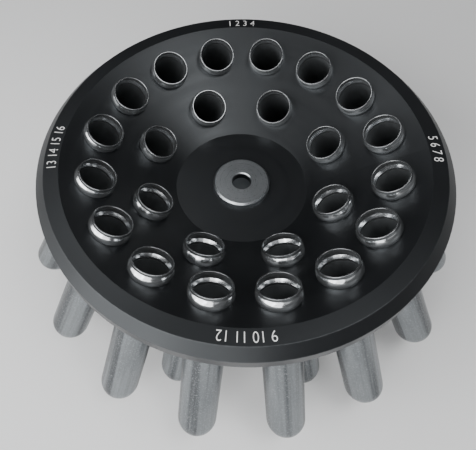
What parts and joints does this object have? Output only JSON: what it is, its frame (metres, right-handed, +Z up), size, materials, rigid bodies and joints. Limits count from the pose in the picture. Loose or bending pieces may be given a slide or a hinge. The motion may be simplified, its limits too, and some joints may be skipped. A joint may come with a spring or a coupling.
{
  "type": "fixed angle rotor",
  "caption": "Fixed angle centrifuge rotor: a dished plate with slanted round-bottomed metal tube sleeves in rings around a steel drive hub.",
  "frame": {"origin": "on the spin axis, at the height of the surface that the inner sleeves' round bottoms stand on", "axes": "+Z up along the spin axis, out of the dish; +X midway between two outer sleeves"},
  "size_m": [0.2466, 0.2466, 0.1021],
  "materials": {
    "plate": "black anodised, fine turned satin",
    "sleeve": "polished mouth and bead, satin tube",
    "hub": "fine turned",
    "fastener": "turned, plain"
  },
  "bodies": {
    "root": {"rotor_plate": "plate", "hub_bush": "hub", "hub_washer": "fastener", "hub_nut": "fastener", "tube_sleeve_01": "sleeve", "tube_sleeve_02": "sleeve", "tube_sleeve_03": "sleeve", "tube_sleeve_04": "sleeve", "tube_sleeve_05": "sleeve", "tube_sleeve_06": "sleeve", "tube_sleeve_07": "sleeve", "tube_sleeve_08": "sleeve", "tube_sleeve_09": "sleeve", "tube_sleeve_10": "sleeve", "tube_sleeve_11": "sleeve", "tube_sleeve_12": "sleeve", "tube_sleeve_13": "sleeve", "tube_sleeve_14": "sleeve", "tube_sleeve_15": "sleeve", "tube_sleeve_16": "sleeve", "tube_sleeve_17": "sleeve", "tube_sleeve_18": "sleeve", "tube_sleeve_19": "sleeve", "tube_sleeve_20": "sleeve", "tube_sleeve_21": "sleeve", "tube_sleeve_22": "sleeve", "tube_sleeve_23": "sleeve", "tube_sleeve_24": "sleeve"}
  },
  "joints": []
}
